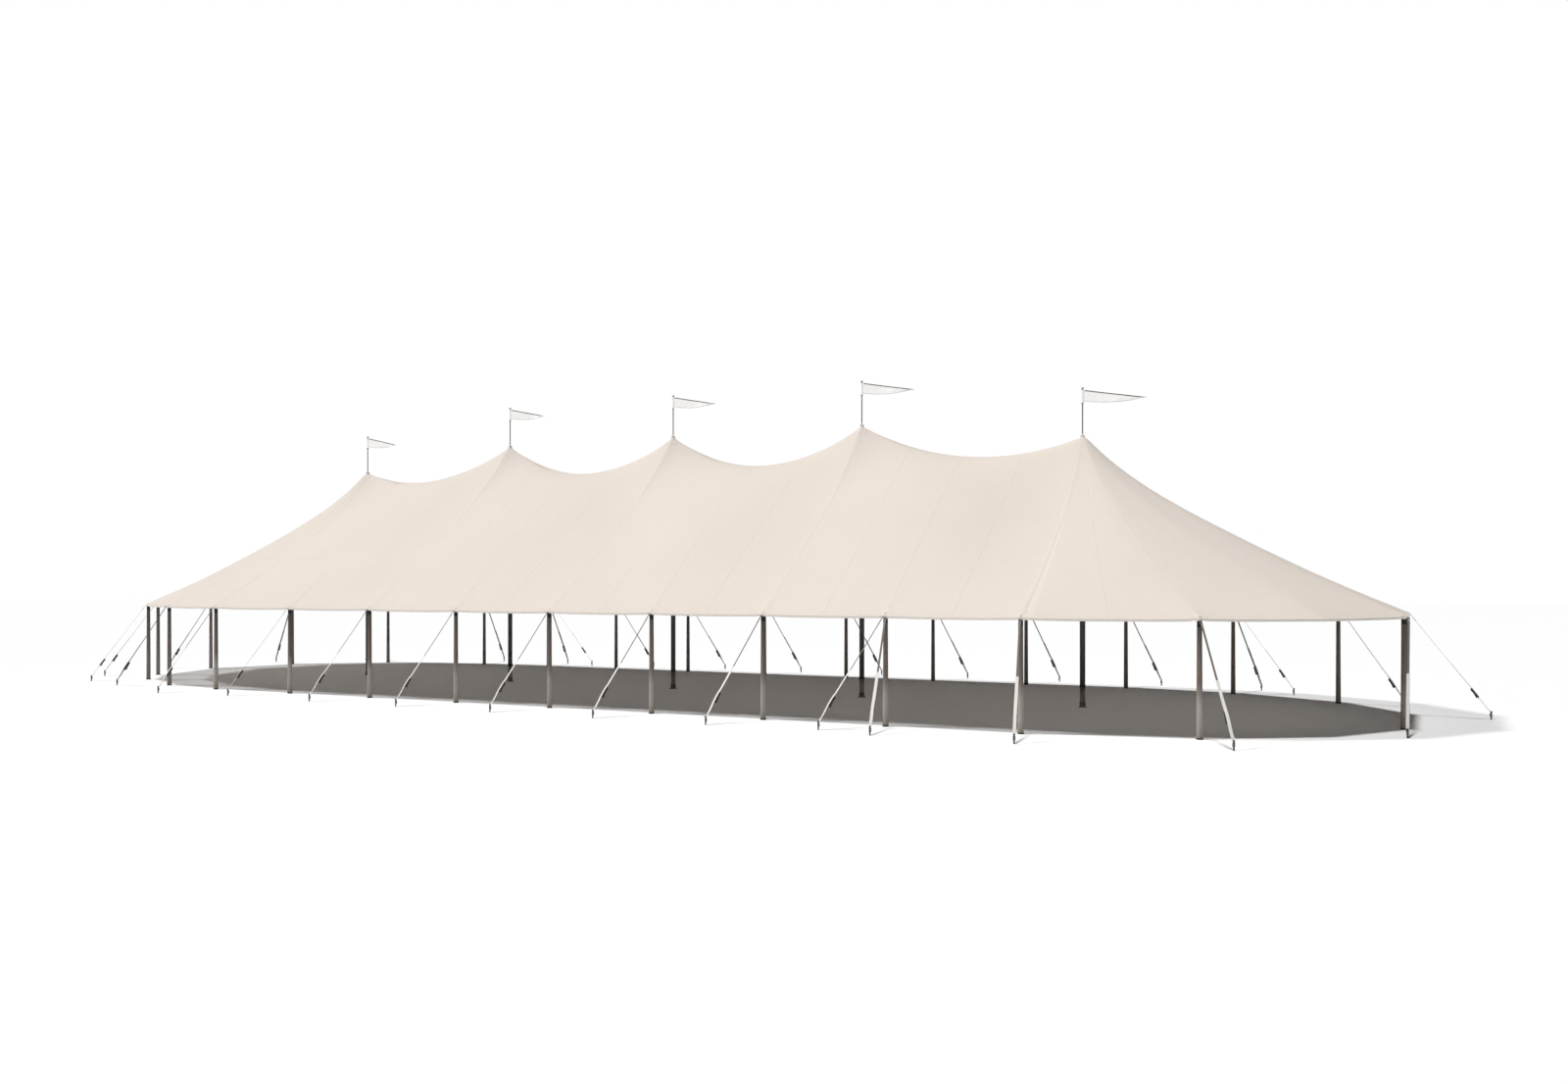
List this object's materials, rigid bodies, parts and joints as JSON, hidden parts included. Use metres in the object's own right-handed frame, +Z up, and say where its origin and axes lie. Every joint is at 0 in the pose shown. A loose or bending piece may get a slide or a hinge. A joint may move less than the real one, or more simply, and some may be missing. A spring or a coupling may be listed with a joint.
{
  "type": "sailcloth pole tent, 1:2 scale model",
  "caption": "Long sailcloth pole tent with peaked ridge, oval ends, wooden side poles, staked guys and swivelling pennants, at half the real size.",
  "frame": {"origin": "on the ground at the middle of the tent, under the middle centre pole", "axes": "+X along the ridge, +Y across it away from the front side, +Z up"},
  "size_m": [21.401, 7.7348, 4.4066],
  "materials": {
    "sailcloth": "matt woven sailcloth, ivory",
    "mast_wood": "dark stained timber",
    "side_pole_wood": "weathered grey-brown timber",
    "flagpole_metal": "satin light grey",
    "pennant_cloth": "matt white cloth",
    "guy_webbing": "pale woven webbing with steel ratchets and stakes"
  },
  "bodies": {
    "tent": {"sailcloth_left_end": "sailcloth", "sailcloth_bay_1": "sailcloth", "sailcloth_bay_2": "sailcloth", "sailcloth_bay_3": "sailcloth", "sailcloth_bay_4": "sailcloth", "sailcloth_right_end": "sailcloth", "centre_pole_1": "mast_wood", "centre_pole_2": "mast_wood", "centre_pole_3": "mast_wood", "centre_pole_4": "mast_wood", "centre_pole_5": "mast_wood", "side_pole_front_1": "side_pole_wood", "side_pole_front_2": "side_pole_wood", "side_pole_front_3": "side_pole_wood", "side_pole_front_4": "side_pole_wood", "side_pole_front_5": "side_pole_wood", "side_pole_front_6": "side_pole_wood", "side_pole_front_7": "side_pole_wood", "side_pole_front_8": "side_pole_wood", "side_pole_front_9": "side_pole_wood", "side_pole_right_1": "side_pole_wood", "side_pole_right_2": "side_pole_wood", "side_pole_right_3": "side_pole_wood", "side_pole_right_4": "side_pole_wood", "side_pole_right_5": "side_pole_wood", "side_pole_back_1": "side_pole_wood", "side_pole_back_2": "side_pole_wood", "side_pole_back_3": "side_pole_wood", "side_pole_back_4": "side_pole_wood", "side_pole_back_5": "side_pole_wood", "side_pole_back_6": "side_pole_wood", "side_pole_back_7": "side_pole_wood", "side_pole_back_8": "side_pole_wood", "side_pole_back_9": "side_pole_wood", "side_pole_left_1": "side_pole_wood", "side_pole_left_2": "side_pole_wood", "side_pole_left_3": "side_pole_wood", "side_pole_left_4": "side_pole_wood", "side_pole_left_5": "side_pole_wood", "side_pole_left_6": "side_pole_wood", "flagpole_1": "flagpole_metal", "flagpole_2": "flagpole_metal", "flagpole_3": "flagpole_metal", "flagpole_4": "flagpole_metal", "flagpole_5": "flagpole_metal", "guys_front": "guy_webbing", "guys_right": "guy_webbing", "guys_back": "guy_webbing", "guys_left": "guy_webbing"},
    "pennant_1_body": {"pennant_1": "pennant_cloth"},
    "pennant_2_body": {"pennant_2": "pennant_cloth"},
    "pennant_3_body": {"pennant_3": "pennant_cloth"},
    "pennant_4_body": {"pennant_4": "pennant_cloth"},
    "pennant_5_body": {"pennant_5": "pennant_cloth"}
  },
  "joints": [
    {"name": "pennant_1_swivel", "type": "hinge", "parent": "tent", "child": "pennant_1_body", "pos_m": [-6.096, 0, 3.89718], "axis": [0, 0, 1], "continuous": true},
    {"name": "pennant_2_swivel", "type": "hinge", "parent": "tent", "child": "pennant_2_body", "pos_m": [-3.048, 0, 4.20198], "axis": [0, 0, 1], "continuous": true},
    {"name": "pennant_3_swivel", "type": "hinge", "parent": "tent", "child": "pennant_3_body", "pos_m": [0, 0, 4.20198], "axis": [0, 0, 1], "continuous": true},
    {"name": "pennant_4_swivel", "type": "hinge", "parent": "tent", "child": "pennant_4_body", "pos_m": [3.048, 0, 4.20198], "axis": [0, 0, 1], "continuous": true},
    {"name": "pennant_5_swivel", "type": "hinge", "parent": "tent", "child": "pennant_5_body", "pos_m": [6.096, 0, 3.89718], "axis": [0, 0, 1], "continuous": true}
  ]
}
